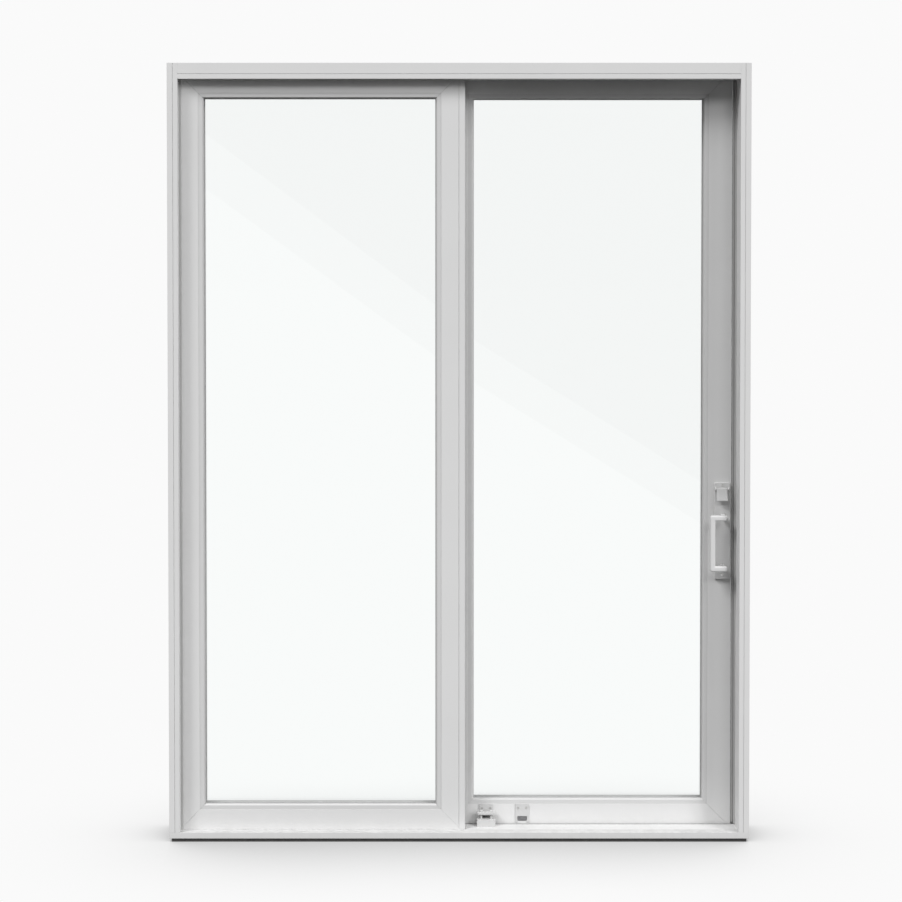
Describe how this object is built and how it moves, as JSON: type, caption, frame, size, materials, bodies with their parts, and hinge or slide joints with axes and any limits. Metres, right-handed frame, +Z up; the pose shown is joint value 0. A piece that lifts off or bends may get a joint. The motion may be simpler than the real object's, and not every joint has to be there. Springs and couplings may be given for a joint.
{
  "type": "sliding patio door",
  "caption": "White sliding patio door: a fixed glazed panel beside a glazed panel that slides behind it, in a butt-jointed frame with a pull handle and a foot lock.",
  "frame": {"origin": "centre of the underside of the sill, halfway through the frame's depth", "axes": "+Z up, +Y from the room to the garden, +X to the right seen from the room"},
  "size_m": [1.505, 0.146, 2.0193],
  "materials": {
    "vinyl": "satin white",
    "bead_vinyl": "satin white",
    "base_black": "matt black",
    "seal_rubber": "matt grey",
    "liner_rubber": "matt grey",
    "stop_rubber": "matt black",
    "pane_glass": "clear",
    "spacer_aluminium": "satin",
    "bright_steel": "brushed",
    "roller_steel": "brushed",
    "handle_paint": "satin white paint",
    "latch_paint": "satin white paint",
    "foot_lock_plastic": "satin white"
  },
  "bodies": {
    "frame": {"sill": "vinyl", "head": "vinyl", "head_tracks": "vinyl", "left_jamb": "vinyl", "right_jamb": "vinyl", "sill_cover": "vinyl", "head_cover": "vinyl", "jamb_cover": "vinyl", "fixed_left_stile": "vinyl", "fixed_meeting_stile": "vinyl", "fixed_top_rail": "vinyl", "fixed_bottom_rail": "vinyl", "fixed_interlock": "vinyl", "fixed_side_beads": "bead_vinyl", "fixed_cross_beads": "bead_vinyl", "sill_base": "base_black", "fixed_jamb_seal": "seal_rubber", "lock_jamb_liner": "liner_rubber", "open_stop": "stop_rubber", "fixed_inner_pane": "pane_glass", "fixed_outer_pane": "pane_glass", "fixed_spacer": "spacer_aluminium", "track_cap": "bright_steel", "lock_keeper": "bright_steel", "foot_lock_body": "foot_lock_plastic"},
    "sliding_panel": {"slide_interlock_stile": "vinyl", "slide_lock_stile": "vinyl", "slide_top_rail": "vinyl", "slide_bottom_rail": "vinyl", "slide_interlock": "vinyl", "slide_side_beads": "bead_vinyl", "slide_cross_beads": "bead_vinyl", "slide_inner_pane": "pane_glass", "slide_outer_pane": "pane_glass", "slide_spacer": "spacer_aluminium", "left_roller_housing": "bright_steel", "right_roller_housing": "bright_steel", "left_roller_wheels": "roller_steel", "right_roller_wheels": "roller_steel", "handle_plate": "handle_paint", "pull_handle": "handle_paint", "outside_pull": "handle_paint", "lock_faceplate": "bright_steel", "foot_lock_strikes": "foot_lock_plastic"},
    "latch": {"thumb_latch": "latch_paint"},
    "pedal": {"foot_lock_pedal": "foot_lock_plastic"}
  },
  "joints": [
    {"name": "panel_slide", "type": "slide", "parent": "frame", "child": "sliding_panel", "axis": [-1, 0, 0], "range_m": [0, 0.6]},
    {"name": "thumb_latch_turn", "type": "hinge", "parent": "sliding_panel", "child": "latch", "pos_m": [0.688, -0.0082, 0.909], "axis": [-1, 0, 0], "range_deg": [0, 60]},
    {"name": "foot_pedal_press", "type": "slide", "parent": "frame", "child": "pedal", "axis": [0, 0, 1], "range_m": [-0.008, 0], "stiffness_N_per_m": 300, "springref_m": 0.01}
  ]
}
